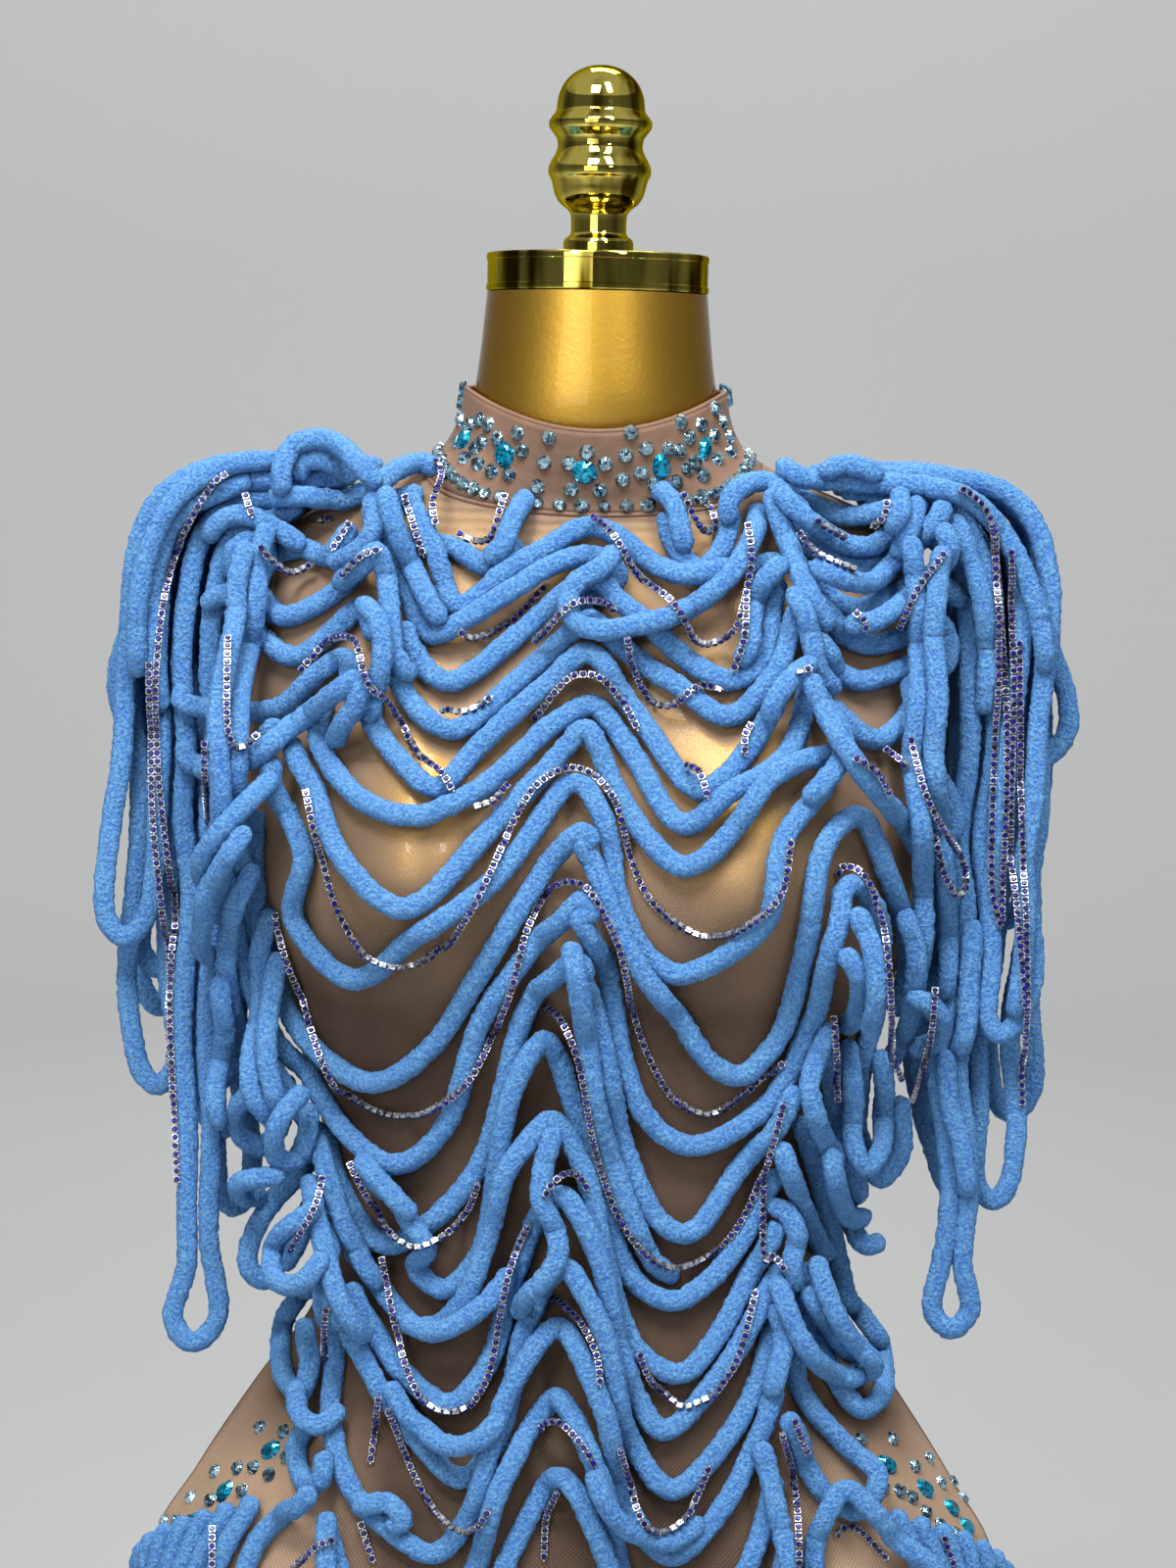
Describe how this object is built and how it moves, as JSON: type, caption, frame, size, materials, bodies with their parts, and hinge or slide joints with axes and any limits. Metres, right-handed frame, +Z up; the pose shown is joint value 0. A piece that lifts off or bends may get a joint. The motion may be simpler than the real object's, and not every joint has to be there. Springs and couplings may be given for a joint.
{
  "type": "mesh mini dress on a limbless dress form",
  "caption": "Sheer high-necked sleeveless mini dress with draped pile cords, hanging fringe and stones, on a limbless gold dress form.",
  "frame": {"origin": "centre of the stand's round base, on its underside", "axes": "+Z up; the dress faces -Y; +X is on the right of someone who looks at its front"},
  "size_m": [0.4612, 0.32, 1.0881],
  "materials": {
    "gold_paint": "satin metallic gold paint on a moulded shell",
    "polished_gold": "mirror-polished gold plate",
    "tan_mesh": "sheer tan power mesh",
    "blue_pile": "thick pale-blue chenille pile cord"
  },
  "bodies": {
    "root": {"back_panel_left": "tan_mesh", "back_panel_right": "tan_mesh", "collar": "tan_mesh", "form_cap": "polished_gold", "form_finial": "polished_gold", "form_torso": "gold_paint", "front_panel": "tan_mesh", "front_swag_01": "blue_pile", "front_swag_02": "blue_pile", "front_swag_03": "blue_pile", "front_swag_04": "blue_pile", "front_swag_05": "blue_pile", "front_swag_06": "blue_pile", "front_swag_07": "blue_pile", "front_swag_08": "blue_pile", "front_swag_09": "blue_pile", "front_swag_10": "blue_pile", "front_swag_11": "blue_pile", "front_swag_12": "blue_pile", "front_swag_13": "blue_pile", "front_swag_14": "blue_pile", "front_swag_15": "blue_pile", "front_swag_16": "blue_pile", "front_swag_17": "blue_pile", "front_swag_18": "blue_pile", "hip_fringe_left": "blue_pile", "hip_fringe_right": "blue_pile", "hip_swag_left": "blue_pile", "hip_swag_right": "blue_pile", "left_loop_1": "blue_pile", "left_loop_2": "blue_pile", "left_loop_3": "blue_pile", "left_loop_4": "blue_pile", "neck_swag_left": "blue_pile", "neck_swag_right": "blue_pile", "right_loop_1": "blue_pile", "right_loop_2": "blue_pile", "right_loop_3": "blue_pile", "shoulder_fringe_left": "blue_pile", "shoulder_fringe_right": "blue_pile", "shoulder_left_1": "blue_pile", "shoulder_left_2": "blue_pile", "shoulder_left_3": "blue_pile", "shoulder_left_4": "blue_pile", "shoulder_left_5": "blue_pile", "shoulder_left_6": "blue_pile", "shoulder_right_1": "blue_pile", "shoulder_right_2": "blue_pile", "shoulder_right_3": "blue_pile", "shoulder_right_4": "blue_pile", "shoulder_right_5": "blue_pile", "shoulder_right_6": "blue_pile", "stand_base": "polished_gold", "stand_post": "polished_gold"}
  },
  "joints": []
}
